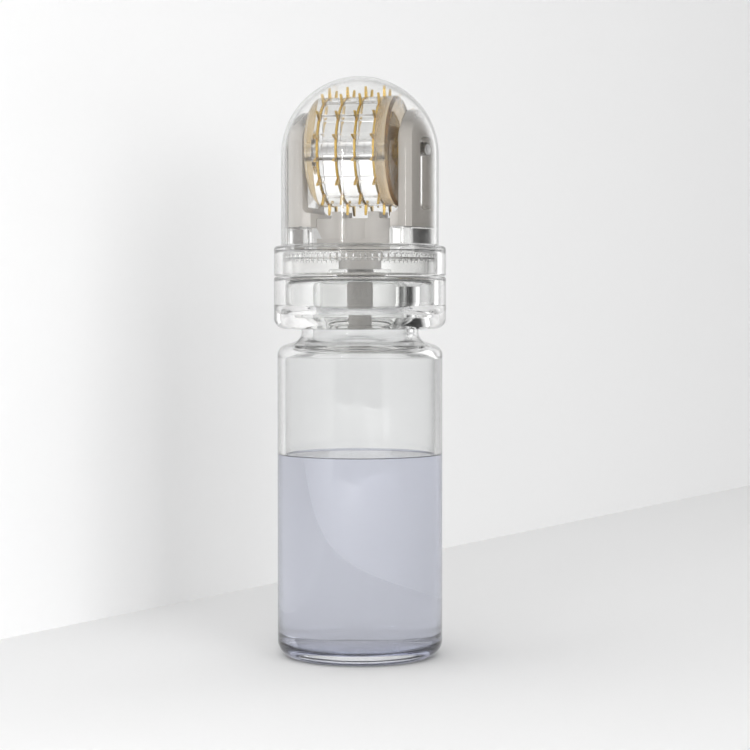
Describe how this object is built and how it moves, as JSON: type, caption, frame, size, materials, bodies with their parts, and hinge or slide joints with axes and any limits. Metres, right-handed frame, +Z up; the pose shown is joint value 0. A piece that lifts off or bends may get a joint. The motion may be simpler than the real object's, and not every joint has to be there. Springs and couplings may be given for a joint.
{
  "type": "derma roller",
  "caption": "Clear vial of pale serum with a snap-fit derma roller head: a forked arm carries a roller of gold needle discs over a feeding comb block, under a clear domed pull-off cap.",
  "frame": {"origin": "centre of the ring that the vial stands on, at its lowest plane", "axes": "+Z up the vial's axis towards the cap's dome; the roller's axle lies along X, and -Y is the front"},
  "size_m": [0.0229, 0.0228, 0.0772],
  "materials": {
    "vial_glass": "clear polished",
    "pale_serum": "clear lavender-grey liquid",
    "clear_plastic": "clear polished",
    "roller_plastic": "clear polished",
    "warm_grey_plastic": "fine satin moulded",
    "wick_felt": "sintered porous",
    "gold_needles": "gold plated, etched",
    "axle_steel": "drawn",
    "seal_silicone": "translucent matt"
  },
  "bodies": {
    "vial": {"vial": "vial_glass", "serum": "pale_serum"},
    "head": {"neck_seal": "seal_silicone", "snap_collar": "clear_plastic", "fork_shell": "clear_plastic", "bracket_left": "warm_grey_plastic", "bracket_right": "warm_grey_plastic", "comb_block": "warm_grey_plastic", "feed_wick": "wick_felt", "wick_washer": "warm_grey_plastic"},
    "roller": {"axle": "axle_steel", "needle_disc_1": "gold_needles", "needle_disc_2": "gold_needles", "needle_disc_3": "gold_needles", "needle_disc_4": "gold_needles", "spacer_1": "roller_plastic", "spacer_2": "roller_plastic", "spacer_3": "roller_plastic", "end_flange_left": "roller_plastic", "end_flange_right": "roller_plastic"},
    "cap": {"cap": "clear_plastic"}
  },
  "joints": [
    {"name": "head_swivel", "type": "hinge", "parent": "vial", "child": "head", "pos_m": [0, 0, 0.048], "axis": [0, 0, 1], "continuous": true},
    {"name": "roller_spin", "type": "hinge", "parent": "head", "child": "roller", "pos_m": [0, 0, 0.0672], "axis": [1, 0, 0], "continuous": true},
    {"name": "cap_pull", "type": "slide", "parent": "head", "child": "cap", "axis": [0, 0, 1], "range_m": [0, 0.03]}
  ]
}
